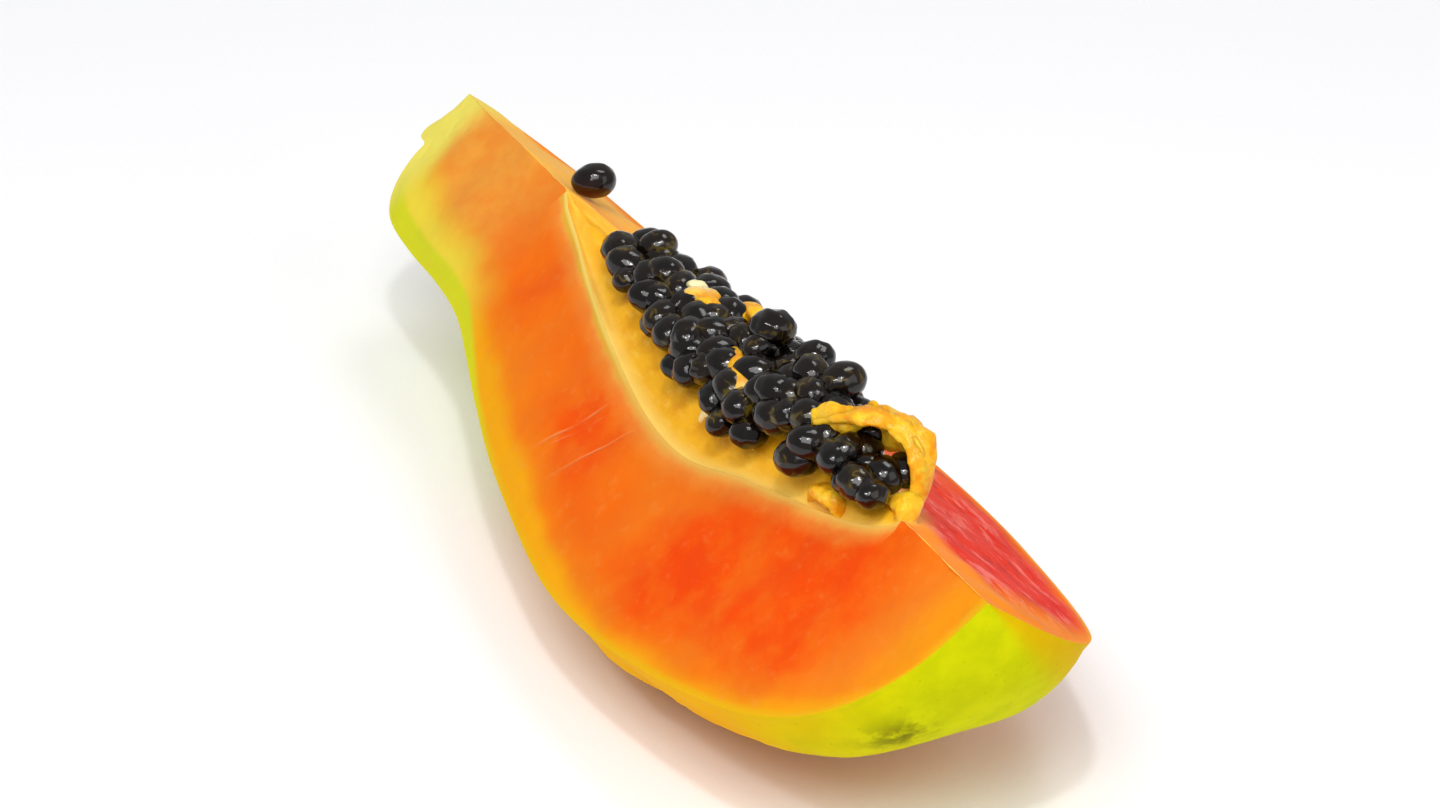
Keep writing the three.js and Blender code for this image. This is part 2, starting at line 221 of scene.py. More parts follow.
angles = (2 * w_skin - 1) * HALF_ANGLE
blend = smooth(w_skin, 0, 1)[None, :, None]
outline = near_skin[:, None] * (1 - blend) + far_skin[:, None] * blend
skin_r = outline[..., 1] * ribbed(outline[..., 0], angles)
skin = np.stack([outline[..., 0], skin_r * np.sin(angles), -skin_r * np.cos(angles)], -1)
near_edge = near_skin[:, 1] * ribbed(near_skin[:, 0], HALF_ANGLE)
far_edge = far_skin[:, 1] * ribbed(far_skin[:, 0], HALF_ANGLE)
near_face, near_out = cut_face(near_skin[:, 0], near_edge, rim, (-SIN_HALF, -COS_HALF), w_near)
far_face, far_out = cut_face(far_skin[:, 0], far_edge, rim_far, (SIN_HALF, -COS_HALF), 1 - w_far)
y_pulp = (rim_far + (-rim - rim_far) * w_pulp[:, None]).T * SIN_HALF
z_pulp = pulp_height(np.broadcast_to(x_col, y_pulp.shape), y_pulp)
wall = np.minimum(w_pulp, 1 - w_pulp)
z_rim = -np.abs(y_pulp) / math.tan(HALF_ANGLE)
open_here = smooth(rim, 0, 1.5)[:, None]
z_pulp = z_rim + (z_pulp - z_rim) * smooth(wall, -0.04, 0.12) * open_here
pulp_top = np.stack([np.broadcast_to(x_col, y_pulp.shape), y_pulp, z_pulp], -1)

loop = np.concatenate([near_face, skin, far_face, pulp_top], axis=1)

# For the materials, in mm: how far each point is from the peel and from the rim of the cavity.
FAR_AWAY = 40.0
TIP_SHARE = 0.8
peel_gap = np.full(loop.shape[:2], FAR_AWAY)
peel_gap[:, zone == NEAR_CUT] = near_edge[:, None] - near_out
peel_gap[:, zone == SKIN] = 0
peel_gap[:, zone == FAR_CUT] = far_edge[:, None] - far_out
from_tip = np.abs(FRUIT_LENGTH - loop[..., 0]) * TIP_SHARE
cut = (zone == NEAR_CUT) | (zone == FAR_CUT)
peel_gap = np.where(cut, np.minimum(peel_gap, from_tip), peel_gap)
rim_gap = np.full(loop.shape[:2], FAR_AWAY)
beside_cavity = rim[:, None] > 0.2
rim_gap[:, zone == NEAR_CUT] = np.where(beside_cavity, near_out - rim[:, None], FAR_AWAY)
rim_gap[:, zone == FAR_CUT] = np.where(beside_cavity, far_out - rim_far[:, None], FAR_AWAY)
rim_gap[:, zone == PULP] = -1

# Relief in mm: dimpled skin, knife-drawn flesh, and soft lumps of pulp.
flat = loop.reshape(-1, 3)
lumps, dimples, drawn, grain, folds = (
    waves(flat, size, seed, stretch=stretch).reshape(loop.shape[:2]) for size, seed, stretch in (
        (14, 3, (1, 1, 1)), (2.6, 5, (1, 1, 1)), (6, 7, (3, 1, 1)), (1.7, 9, (1, 1.6, 1.6)),
        (5.5, 11, (2.2, 1, 1))))
inward = smooth(peel_gap, 0, 3) * smooth(rim_gap, 0, 2)
raise_face = (0.16 * lumps + 0.07 * drawn + 0.035 * grain) * inward
raise_skin = 0.2 * lumps + 0.03 * dimples
in_cavity = smooth(wall, 0.03, 0.3) * open_here
raise_pulp = (0.4 * folds + 0.1 * grain)[:, zone == PULP] * in_cavity
SKIN_SUNK = 0.2
CORNER_HOLD = 0.06
skin_hold = smooth(HALF_ANGLE - np.abs(angles), 0, CORNER_HOLD)
loop[:, zone == NEAR_CUT] += (raise_face[:, zone == NEAR_CUT, None]
                              * np.array([0, -COS_HALF, SIN_HALF]))
loop[:, zone == FAR_CUT] += raise_face[:, zone == FAR_CUT, None] * np.array([0, COS_HALF, SIN_HALF])
radial = np.stack([np.zeros_like(angles), np.sin(angles), -np.cos(angles)], -1)
raised = (raise_skin[:, zone == SKIN] - SKIN_SUNK) * skin_hold
loop[:, zone == SKIN] += raised[..., None] * radial
loop[:, zone == PULP, 2] += raise_pulp

# The corners are eased a little, as soft flesh is, by averaging across the loop. The share falls
# from each corner to nothing over a few columns.
EASE_REACH, EASE_FADE, EASE_SHARE, EASE_ROUNDS = 4.0, 3, 0.5, 2
around_loop = len(zone)
corner = np.zeros(around_loop)
for start in np.cumsum((0,) + COLUMNS)[:4]:
    gap = np.abs((np.arange(around_loop) - start + around_loop // 2) % around_loop
                 - around_loop // 2)
    corner = np.maximum(corner, smooth(EASE_REACH - gap, 0, EASE_FADE))
for _ in range(EASE_ROUNDS):
    mean = (np.roll(loop, 1, axis=1) + np.roll(loop, -1, axis=1)) / 2
    loop = loop + (mean - loop) * EASE_SHARE * corner[None, :, None]

placed = lay(loop)
placed[..., 2] = np.maximum(placed[..., 2], FLAT_FLOOR)
stem_tip, blossom_tip = lay(np.array([[0.0, 0, 0]])), lay(np.array([[FRUIT_LENGTH, 0, 0]]))
wedge = capped_lofts("papaya_flesh", placed[None], stem_tip, blossom_tip)
around = np.degrees(np.arctan2(loop[..., 1], -loop[..., 2]))
inside = np.zeros(loop.shape[:2])
inside[:, zone == PULP] = wall * (rim + rim_far)[:, None] * SIN_HALF
for name, values, at_stem, at_blossom in (
        ("peel_gap", peel_gap, 0, 0), ("rim_gap", rim_gap, FAR_AWAY, FAR_AWAY),
        ("along_axis", loop[..., 0], 0, FRUIT_LENGTH),
        ("from_axis", np.hypot(loop[..., 1], loop[..., 2]), 0, 0),
        ("inside_rim", inside, 0, 0), ("around_axis", around, 0, 0)):
    number(wedge, name, np.append(values.ravel(), (at_stem, at_blossom)))


def linear(code):
    """Linear colour of an sRGB hex value."""
    parts = [int(code[i:i + 2], 16) / 255 for i in (0, 2, 4)]
    return [p / 12.92 if p <= 0.04045 else ((p + 0.055) / 1.055) ** 2.4 for p in parts] + [1.0]


def node(tree, kind, settings, inputs, output=0):
    """Adds one node with its settings and its inputs, in order or by socket, and gives one output.
    An input is a number, a hex colour or another node's output."""
    made = tree.nodes.new("ShaderNode" + kind)
    for name, value in settings.items():
        setattr(made, name, value)
    for socket, value in inputs.items() if isinstance(inputs, dict) else enumerate(inputs):
        if isinstance(value, bpy.types.NodeSocket):
            tree.links.new(value, made.inputs[socket])
        else:
            made.inputs[socket].default_value = linear(value) if isinstance(value, str) else value
    return made.outputs[output]


SMOOTH = {"interpolation_type": "SMOOTHSTEP"}
COLOURS = {"data_type": "RGBA"}
PLUS, TIMES, HIGHER = ({"operation": name} for name in ("ADD", "MULTIPLY", "MAXIMUM"))
TIMES_PLUS = {"operation": "MULTIPLY_ADD"}


def layer(tree, under, over, value, none_at, full_at, share=1.0, mask=None):
    """One colour laid over another: none of it where value is none_at, all of its share where it is
    full_at, a smooth step between them, and times a mask if there is one."""
    amount = node(tree, "MapRange", SMOOTH, (value, none_at, full_at, 0.0, share))
    if mask is not None:
        amount = node(tree, "Math", TIMES, (amount, mask))
    return node(tree, "Mix", COLOURS, {0: amount, 6: under, 7: over}, 2)


def cloudy(tree, where, size_mm, detail, rough, stretch=(1, 1, 1)):
    """Cloudy pattern whose patches are size_mm across, and longer where stretch is under 1."""
    place = node(tree, "Mapping", {}, {"Vector": where, "Scale": stretch})
    return node(tree, "TexNoise", {}, {"Vector": place, "Scale": 1 / (size_mm * MM),
                                       "Detail": detail, "Roughness": rough})


def nearness(tree, where, centre, radius):
    """1 at a place given in the fruit's own mm, falling by a smooth step to 0 at the radius."""
    middle = lay(np.array(centre, dtype=float)).tolist()
    away = node(tree, "VectorMath", {"operation": "DISTANCE"}, (where, middle), "Value")
    return node(tree, "MapRange", SMOOTH, (away, 0.0, radius * MM, 1.0, 0.0))


def on_near(x, r):
    """Place on the near cut face, x along the axis and r out from it."""
    return (x, -r * SIN_HALF, -r * COS_HALF)


def scratch(tree, where, start, end, half_width):
    """1 on a fine straight scratch between two places on the near cut, 0 past its ends and beside
    it: the length of the cross product with its direction is the distance to it, faded over
    half_width mm, and the dot product is the way along it."""
    a, b = (lay(np.array(on_near(*place))) for place in (start, end))
    length = float(np.linalg.norm(b - a))
    way = ((b - a) / length).tolist()
    off = node(tree, "VectorMath", {"operation": "SUBTRACT"}, (where, a.tolist()))
    passed = node(tree, "VectorMath", {"operation": "DOT_PRODUCT"}, (off, way), "Value")
    square = node(tree, "VectorMath", {"operation": "CROSS_PRODUCT"}, (off, way))
    aside = node(tree, "VectorMath", {"operation": "LENGTH"}, (square,), "Value")
    beside = node(tree, "MapRange", SMOOTH, (aside, 0.0, half_width * MM, 1.0, 0.0))
    head = node(tree, "MapRange", SMOOTH, (passed, 0.0, length * 0.3, 0.0, 1.0))
    tail = node(tree, "MapRange", SMOOTH, (passed, length * 0.6, length, 1.0, 0.0))
    return node(tree, "Math", TIMES, (beside, node(tree, "Math", TIMES, (head, tail))))


def new_material(name):
    """Material of one shader, the place on the piece, and nothing else yet."""
    material = bpy.data.materials.new(name)
    material.use_nodes = True
    tree = material.node_tree
    return material, tree, node(tree, "TexCoord", {}, (), "Object")


def finish(tree, colour, bump, **numbers):
    """Joins a colour and a bump to the shader and sets the shader's own numbers."""
    shader = tree.nodes["Principled BSDF"]
    tree.links.new(colour, shader.inputs["Base Color"])
    tree.links.new(bump, shader.inputs["Normal"])
    for name, value in numbers.items():
        shader.inputs[name.replace("_", " ")].default_value = value


# Ripe cut flesh: moist and slightly see-through, orange-red where it is ripest, paler in the
# neck, yellow under the peel and peach round the seed cavity. Its water gives a soft shine.
# Each ripe place is where it lies on the near cut, its radius in mm and how ripe it is.
RIPE_PLACES = [((160, 20), 37, 1.0), ((140, 29), 26, 1.0), ((94, 25), 20, 0.85),
               ((54, 14), 15, 0.35)]
# Where the blade caught: two long scratches and a faint one, each from one place to another on
# the near cut, with its half width in mm and its strength.
SCRATCHES = [((86.8, 35), (94.9, 17.8), 0.5, 0.75), ((95.4, 37.3), (104, 17.6), 0.5, 0.75),
             ((89, 33.4), (96, 20.4), 0.4, 0.35)]
flesh, tree, where = new_material("ripe_cut_flesh")
gap, axis, cavity_gap = (node(tree, "Attribute", {"attribute_name": name}, (), "Fac")
                         for name in ("peel_gap", "along_axis", "rim_gap"))
cloud = cloudy(tree, where, 24, 3, 0.55)
mottle = cloudy(tree, where, 6, 4, 0.6)
fibre = cloudy(tree, where, 2.4, 3, 0.6)
wander = node(tree, "Math", PLUS, (gap, node(tree, "Math", TIMES_PLUS, (cloud, 9.0, -4.5))))
ripe = 0.0
for place, radius, share in RIPE_PLACES:
    here = node(tree, "Math", TIMES, (nearness(tree, where, on_near(*place), radius), share))
    ripe = node(tree, "Math", HIGHER, (here, ripe))
patchy = node(tree, "MapRange", SMOOTH, (mottle, 0.28, 0.72, 0.6, 1.2))
ripe = node(tree, "Math", TIMES, (ripe, patchy))
colour = layer(tree, "e06f12", "e05f08", cloud, 0.3, 0.7)
colour = layer(tree, colour, layer(tree, "e04a03", "de4102", cloud, 0.35, 0.65), ripe, 0.0, 1.0)
colour = layer(tree, colour, "e07a1b", axis, 171, 187, 0.85)
colour = layer(tree, colour, "e09a0d", axis, 184, 193, 0.9)
neck = layer(tree, "df9839", "de8930", mottle, 0.35, 0.65)
colour = layer(tree, colour, neck, axis, 52, 24, 0.9)
narrower = node(tree, "MapRange", SMOOTH, (axis, 100, 150, -2.4, 1.5))
band = node(tree, "Math", PLUS, (wander, narrower))
colour = layer(tree, colour, "e07c10", band, 11.0, 2.0, 0.8)
colour = layer(tree, colour, "e09b0b", band, 5.5, 1.0, 0.95)
bulb = node(tree, "MapRange", SMOOTH, (axis, 32, 56, 0.92, 0.0))
colour = layer(tree, colour, "dcc83c", wander, 13.0, 4.0, 1.0, bulb)
wider = node(tree, "MapRange", SMOOTH, (axis, 35, 70, -2.6, 0.0))
colour = layer(tree, colour, layer(tree, "c2c41f", "d7a50f", axis, 55, 95),
               node(tree, "Math", PLUS, (gap, wider)), 1.8, 0.2, 0.95)
colour = layer(tree, colour, "dccf5c", axis, 11, 3, 0.95)
uneven = node(tree, "Math", TIMES_PLUS, (mottle, 2.5, -1.25))
rim_edge = node(tree, "Math", PLUS, (cavity_gap, uneven))
neck_rim = node(tree, "MapRange", SMOOTH, (axis, 72, 104, 1.0, 0.25))
colour = layer(tree, colour, "e08e38", rim_edge, 6.0, 0.5, 0.75)
colour = layer(tree, colour, "e0a54f", rim_edge, 2.6, 0.2, 0.85)
colour = layer(tree, colour, "cfa028", rim_edge, 2.0, 0.8, 0.9, neck_rim)
colour = layer(tree, colour, "e0c465", cavity_gap, 1.1, 0.3, 0.95, neck_rim)
colour = layer(tree, colour, "e39548", fibre, 0.56, 0.74, 0.14)
groove = 0.0
for start, end, half_width, depth in SCRATCHES:
    line = node(tree, "Math", TIMES, (scratch(tree, where, start, end, half_width), depth))
    groove = node(tree, "Math", HIGHER, (line, groove))
colour = node(tree, "Mix", COLOURS, {0: groove, 6: colour, 7: "e3894f"}, 2)
bump = node(tree, "Bump", {}, {"Strength": 0.35, "Distance": 0.0004, "Height": fibre})
bump = node(tree, "Bump", {"invert": True}, {"Strength": 0.6, "Distance": 0.0005,
                                             "Height": groove, "Normal": bump})
finish(tree, colour, bump, Roughness=0.45, IOR=1.38, Specular_IOR_Level=0.12,
       Subsurface_Weight=0.2, Subsurface_Radius=(1.0, 0.4, 0.12), Subsurface_Scale=0.003)

# Far cut: the same flesh, riper and wetter, dragged by the knife into dark red streaks, with
# pink-white painted highlights of its wet sheen along the streaks.
wet, tree, where = new_material("wet_dragged_flesh_painted_sheen")
gap, axis, cavity_gap, from_axis = (
    node(tree, "Attribute", {"attribute_name": name}, (), "Fac")
    for name in ("peel_gap", "along_axis", "rim_gap", "from_axis"))
cloud = cloudy(tree, where, 20, 3, 0.55)
streak = cloudy(tree, where, 3.6, 5, 0.65, (0.34, 1, 1))
fine_streak = cloudy(tree, where, 1.3, 3, 0.6, (0.3, 1, 1))
out = node(tree, "Math", TIMES_PLUS, (cloud, 3.0, from_axis))
off_axis = node(tree, "MapRange", SMOOTH, (out, 7.5, 13.0, 0.0, 1.0))
past_middle = node(tree, "MapRange", SMOOTH, (axis, 84, 136, 0.0, 1.0))
red = node(tree, "Math", TIMES, (off_axis, past_middle))
under = layer(tree, "f6b44c", "fa8a24", axis, 30, 90)
colour = layer(tree, "ec3414", "dc1e10", cloud, 0.3, 0.7)
colour = node(tree, "Mix", COLOURS, {0: red, 6: under, 7: colour}, 2)
inward = node(tree, "Math", TIMES, (red, node(tree, "MapRange", SMOOTH, (gap, 2, 7, 0.0, 1.0))))
# Painted highlight: pink-white streaks stand in for the sheen of the wet far cut.
colour = layer(tree, colour, "f89488", streak, 0.52, 0.62, 0.5, inward)
colour = layer(tree, colour, "b8100c", streak, 0.46, 0.36, 0.7, red)
colour = layer(tree, colour, "f2700e", gap, 5.0, 0.5, 0.9)
colour = layer(tree, colour, "eca414", gap, 1.6, 0.0, 0.9)
colour = layer(tree, colour, "f28a14", axis, 176, 188, 0.8)
colour = layer(tree, colour, "eed45c", axis, 12, 2, 0.95)
colour = layer(tree, colour, "f8963c", cavity_gap, 7.0, 0.5, 0.9)
colour = layer(tree, colour, "f6bf52", cavity_gap, 2.4, 0.0, 0.9)
bump = node(tree, "Bump", {}, {"Strength": 0.6, "Distance": 0.0006, "Height": streak})
bump = node(tree, "Bump", {}, {"Strength": 0.4, "Distance": 0.0003, "Height": fine_streak,
                               "Normal": bump})
finish(tree, colour, bump, Roughness=0.5, IOR=1.38, Specular_IOR_Level=0.04,
       Subsurface_Weight=0.15, Subsurface_Radius=(1.0, 0.3, 0.1), Subsurface_Scale=0.003)

# Peel: thin waxy skin, lime green round the blossom end and on the neck, ripened to yellow and
# ochre along the belly, with a darker green bruise and fine freckles. It has a low satin shine.
peel, tree, where = new_material("waxy_peel")
axis, turn = (node(tree, "Attribute", {"attribute_name": name}, (), "Fac")
              for name in ("along_axis", "around_axis"))
cloud = cloudy(tree, where, 26, 3, 0.55)
mottle = cloudy(tree, where, 6, 4, 0.62)
freckle = cloudy(tree, where, 1.2, 2, 0.5)
drift = node(tree, "Math", PLUS, (axis, node(tree, "Math", TIMES_PLUS, (cloud, 22.0, -11.0))))
slant = node(tree, "MapRange", SMOOTH, (turn, -52, -28, 0.0, 5.0))
tilted = node(tree, "Math", PLUS, (drift, slant))
colour = layer(tree, "f3a806", "e69404", cloud, 0.3, 0.7)
colour = layer(tree, colour, "efb90c", turn, -20, -52, 0.6)
colour = layer(tree, colour, layer(tree, "cfd006", "c0c404", mottle, 0.3, 0.7), tilted, 164, 196)
colour = layer(tree, colour, "7a7606", mottle, 0.35, 0.55, 1.0,
               nearness(tree, where, (189, -11, -25), 9))
colour = layer(tree, colour, layer(tree, "ced81c", "e0da2a", mottle, 0.4, 0.6), drift, 84, 48)
colour = layer(tree, colour, "e8d458", axis, 9, 2, 0.9)
colour = layer(tree, colour, "e29a06", turn, 26, 48, 0.6)
colour = layer(tree, colour, "8f8a12", freckle, 0.68, 0.76, 0.3)
bump = node(tree, "Bump", {}, {"Strength": 0.25, "Distance": 0.0003, "Height": mottle})
finish(tree, colour, bump, Roughness=0.5, IOR=1.4, Specular_IOR_Level=0.015)

# Lining and pulp of the cavity: soft yellow fibres that held the seeds, moist, pale at the rim
# and deeper in colour towards the seeds.
lining, tree, where = new_material("yellow_cavity_pulp")
axis, inside = (node(tree, "Attribute", {"attribute_name": name}, (), "Fac")
                for name in ("along_axis", "inside_rim"))
lump = cloudy(tree, where, 5, 4, 0.62)
strand = cloudy(tree, where, 1.6, 3, 0.6, (0.4, 1, 1))
colour = layer(tree, "e0980a", "eeb01a", lump, 0.3, 0.7)
colour = layer(tree, colour, "f4ba34", inside, 5.0, 0.5, 0.8)
past_neck = node(tree, "MapRange", SMOOTH, (axis, 52, 84, 0.3, 1.0))
colour = layer(tree, colour, "fad36e", inside, 3.0, 0.0, 0.85, past_neck)
colour = layer(tree, colour, "fad060", strand, 0.5, 0.7, 0.3)
bump = node(tree, "Bump", {}, {"Strength": 0.4, "Distance": 0.0004, "Height": strand})
finish(tree, colour, bump, Roughness=0.4, IOR=1.38, Specular_IOR_Level=0.2,
       Subsurface_Weight=0.3, Subsurface_Radius=(1.0, 0.6, 0.15), Subsurface_Scale=0.003)

for material in (flesh, peel, wet, lining):
    wedge.data.materials.append(material)
quad_zone = np.tile(zone, STATIONS - 1)
cap_zone = np.tile(zone, 2)
wedge.data.polygons.foreach_set("material_index",
                                np.concatenate([quad_zone, cap_zone]).astype(np.int32))
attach(wedge, "root")
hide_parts("flesh_wedge")

# Torn pulp: flat leaves and curls of the soft fibre between the seeds, left standing by the
# knife. Each is a leaf of tapering width along a curved path, rooted in the pulp.
FLAPS = [
    ([(139.5, -2.2, -4.5), (141, -1.6, 3.2), (145.5, -0.6, 7), (150, 2.4, 9.2), (154.6, 5.6, 9.4),
      (159, 7, 7.6), (161.6, 6.4, 4), (161.8, 4.4, -5)], 6, 2.6),
    ([(108.5, -1, -4), (112, -2.6, 3.2), (119, -4.4, 3.2), (124, -5.4, 2.2), (127.4, -6.2, 0.4),
      (129, -6.6, -6)], 3.8, 2),
    ([(86.5, -1, -5), (89.5, 1, 2.3), (93.5, 1.6, 3.4), (97.5, 0.4, 3), (100, 0, -3)], 4.8, 2.2),
    ([(93, 5.5, -6), (95.5, 6.4, 0.6), (99, 7, 1.8), (102.5, 6.4, 1), (105, 5.5, -5)], 4, 2),
    ([(146, -5, -8), (147.8, -4.8, -3.6), (151, -4.6, -3), (153.5, -4.2, -3.6), (155, -3.8, -8)],
     4.2, 2.8),
    ([(158, 4.4, -6), (159.8, 4, -1.4), (162, 3.2, -0.6), (164.2, 2.4, -1.2), (166, 1.6, -6)],
     5, 3),
]
# Broad lobes of the largest curl: the leaf stands on edge.
LOBES = [([(148, 3, 5), (150.4, 4.2, 7.4), (154.4, 5.8, 6.6), (158.4, 6.8, 5), (161, 6.4, 2)],
          2.2, 8.4),
         ([(138.8, -3.2, 1), (141.4, -2.6, 4.2), (144.8, -1.8, 6.4), (148.4, 0, 8.2),
           (151, 1.6, 8.6)], 2.6, 5.6)]
# Small bits of pulp among the seeds: place, length and width. The cream ones are unripe fibre.
CREAM_BITS = [(89, 2, 3.2, 4.4, 3), (124.6, -5.2, 1, 3.2, 2.8), (117.6, -9.4, -4, 4.2, 1.6)]
YELLOW_BITS = [(91.5, 1.4, 1.8, 4, 2.4), (92.6, -4.6, 0.8, 3, 2.2), (144, -2.6, 2.2, 3.4, 2.2),
               (156, -2.4, 1.4, 4.6, 1.8), (106.5, 4.4, 5.6, 4.4, 2.4), (80.4, -3.8, -0.4, 3, 1.8)]
BIT_THICK = 1.8
FLAP_ROWS = 56
FLAP_RING = 36
SOFT_WAVE, SOFT_SHARE = 5, 0.16
TORN_WAVE, TORN_SHARE = 1.8, 0.05
FIRST_FLAP_SEED = 40


def leaf(path, wide, thick, seed):
    """Leaf of pulp: an oval section, its half-axes wide and thick, along a curved path."""
    t = np.linspace(0, 1, FLAP_ROWS + 2)[1:-1]
    centre = spline(np.array(path, dtype=float), t)
    ahead = np.gradient(centre, axis=0)
    ahead /= np.linalg.norm(ahead, axis=1)[:, None]
    side = np.array([0, 1.0, 0]) - ahead * ahead[:, 1:2]
    side /= np.linalg.norm(side, axis=1)[:, None]
    up = np.cross(ahead, side)
    taper = np.sqrt(np.sin(np.pi * t))[:, None]
    q = np.linspace(0, 2 * np.pi, FLAP_RING, endpoint=False)[None]
    a = wide / 2 * taper * np.cos(q)
    b = thick / 2 * taper * np.sin(q)
    points = centre[:, None] + side[:, None] * a[..., None] + up[:, None] * b[..., None]
    flat = points.reshape(-1, 3)
    soft = waves(flat, SOFT_WAVE, seed).reshape(a.shape) * SOFT_SHARE * taper
    torn_edge = waves(flat, TORN_WAVE, seed + 50).reshape(a.shape) * TORN_SHARE * taper
    return points + (points - centre[:, None]) * (soft + torn_edge)[..., None]


def joined(name, shells):
    """One object of several closed lofts, given as arrays of rings of one size."""
    rings = np.stack(shells)
    return capped_lofts(name, rings, rings[:, 0].mean(axis=1), rings[:, -1].mean(axis=1))


bits = [([(x - size / 2, y - 0.6, z - 2.4), (x - size / 3, y, z - 0.2), (x, y + 0.3, z),
          (x + size / 3, y, z - 0.4), (x + size / 2, y - 0.6, z - 2.6)], wide, BIT_THICK)
        for x, y, z, size, wide in CREAM_BITS + YELLOW_BITS]
leaves = FLAPS + LOBES + bits
flaps = joined("torn_pulp_flaps", [lay(leaf(path, wide, thick, FIRST_FLAP_SEED + i))
                                   for i, (path, wide, thick) in enumerate(leaves)])

# Torn pulp: deeper in colour and wetter than the lining, so its folds catch the light.
torn, tree, where = new_material("torn_yellow_pulp")
lump = cloudy(tree, where, 4, 4, 0.62)
strand = cloudy(tree, where, 1.2, 3, 0.6, (0.4, 1, 1))
colour = layer(tree, "e89206", "f6bc26", lump, 0.35, 0.65)
colour = layer(tree, colour, "d9cf3a", strand, 0.5, 0.7, 0.5)
for x, y, z, size, wide in CREAM_BITS:
    cream = nearness(tree, where, (x, y, z), size * 1.4)
    colour = node(tree, "Mix", COLOURS, {0: cream, 6: colour, 7: "fff0b8"}, 2)
bump = node(tree, "Bump", {}, {"Strength": 0.7, "Distance": 0.0005, "Height": strand})
finish(tree, colour, bump, Roughness=0.28, IOR=1.38, Specular_IOR_Level=0.4,
       Subsurface_Weight=0.35, Subsurface_Radius=(1.0, 0.7, 0.2), Subsurface_Scale=0.003)
flaps.data.materials.append(torn)
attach(flaps, "root")
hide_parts("flesh_wedge")

# Seeds: hard egg-shaped kernels 5 to 8 mm long in a wet, wrinkled coat of black-brown jelly.
# They lie on the pulp in two layers, and one lies apart by the neck. Each top seed is its place
# along and across the fruit, its length, its turn in degrees and its lift above the pulp.
TOP_SEEDS = np.array([
    (66.2, 0.2, 5.6, 30, 1), (71.6, 3.2, 6.8, 70, 3), (81, 0.2, 7.4, 20, 1.6),
    (75.8, -4, 6, 80, 0.6), (86, -3.6, 6.4, 40, 1), (91.6, -1.9, 5.2, 100, 2),
    (90.1, -6.4, 5, 20, 0.8), (98.4, 0.6, 6.4, 60, 1), (101.9, -5.5, 7.6, 150, 1.6),
    (105.2, 1.4, 5.6, 60, 2), (114.7, 3.4, 8.4, 30, 5), (116, 0.4, 6.4, 110, 3),
    (111.1, -6.8, 7.2, 20, 1), (103.4, -8, 6.2, 60, 0), (130.4, -3.9, 7.6, 20, 1.2),
    (118.1, -8.5, 6.8, 140, 1), (122.7, -9.3, 6.2, 100, 0.5), (129.8, -8.1, 6.6, 60, 0),
    (126.5, 5.2, 6.8, 50, 5), (135.9, 5.4, 8.2, 95, 4), (130.6, 2.5, 7.4, 165, 3),
    (135.5, 0.1, 7, 15, 2), (136.7, -4.2, 7, 70, 0.6), (143.6, -6.3, 8.2, 35, 0),
    (142, 1.5, 6.6, 120, 2), (151.6, -1.6, 6.4, 120, 2), (148.8, 4, 6.8, 10, 3),
    (157.6, 5.4, 7.4, 150, 4), (155.4, 0.5, 5.6, 60, 1.6), (155.8, -3.4, 6.2, 100, 0.8),
    (160.8, -2, 7, 140, 0)])
SEED_GAP = 0.35
SEED_WIDTH = 0.82
SEED_HEIGHT = 0.76
LOWER_START, LOWER_END, LOWER_PITCH = 67.0, 160.0, 6.0
LOWER_ACROSS, LOWER_LENGTH, LOWER_EMPTY = 5.5, 8.0, 0.07
LOWER_SCATTER = 2.4
FIRST_SPACE = 0.6
ACROSS_STEP = 0.1
NEAR_MARGIN = np.array([(40, 5.4), (116, 5.4), (143, 2), (170, 2)])
FAR_MARGIN = 4.4
LONE_SEED, LONE_LENGTH, LONE_TURN = (41, 5.4, 0.2), 7.8, 65


def draw_one(n):
    """Repeatable number from 0 to 1 for one whole number."""
    s = math.sin(n * 12.9898 + 4.1414) * 43758.5453
    return s - math.floor(s)


def rest_height(x, y, length):
    """Height of a seed's middle where it rests on the pulp, a little clear of it."""
    dx = pulp_height(x + 0.5, y) - pulp_height(x - 0.5, y)
    dy = pulp_height(x, y + 0.5) - pulp_height(x, y - 0.5)
    steep = dx * dx + dy * dy
    flat, tall = length * SEED_WIDTH / 2, length * SEED_HEIGHT / 2
    return pulp_height(x, y) + np.sqrt(flat**2 * steep + tall**2) + SEED_GAP * np.sqrt(1 + steep)


# Lower layer: row after row along the fruit, a seed set down each time that the way walked
# across the pulp has reached one seed's width, with some left out.
lower = []
x, n = LOWER_START, 0
while x <= LOWER_END:
    half = float(along(CAVITY_OUTLINE, np.array(x))) * SIN_HALF
    stop = max(half * FAR_WIDER - FAR_MARGIN, 0.1)
    ys = [min(float(along(NEAR_MARGIN, np.array(x))) - half, 0)]
    while ys[-1] <= stop:
        ys.append(ys[-1] + ACROSS_STEP)
    ys = np.array(ys[:-1])
    rise = np.hypot(ACROSS_STEP, pulp_height(np.full(len(ys), x), ys)
                    - pulp_height(np.full(len(ys), x), ys - ACROSS_STEP))
    walked = LOWER_ACROSS * (1 - FIRST_SPACE * draw_one(x))
    for y_here, rise_here in zip(ys, rise):
        walked += rise_here
        if walked >= LOWER_ACROSS:
            walked = 0
            n += 1
            if draw_one(n + 600) > LOWER_EMPTY:
                lower.append((x + LOWER_SCATTER * (draw_one(n + 200) - 0.5), y_here,
                              LOWER_LENGTH, 180 * draw_one(n + 400), 0))
    x += LOWER_PITCH
lower = np.array(lower)


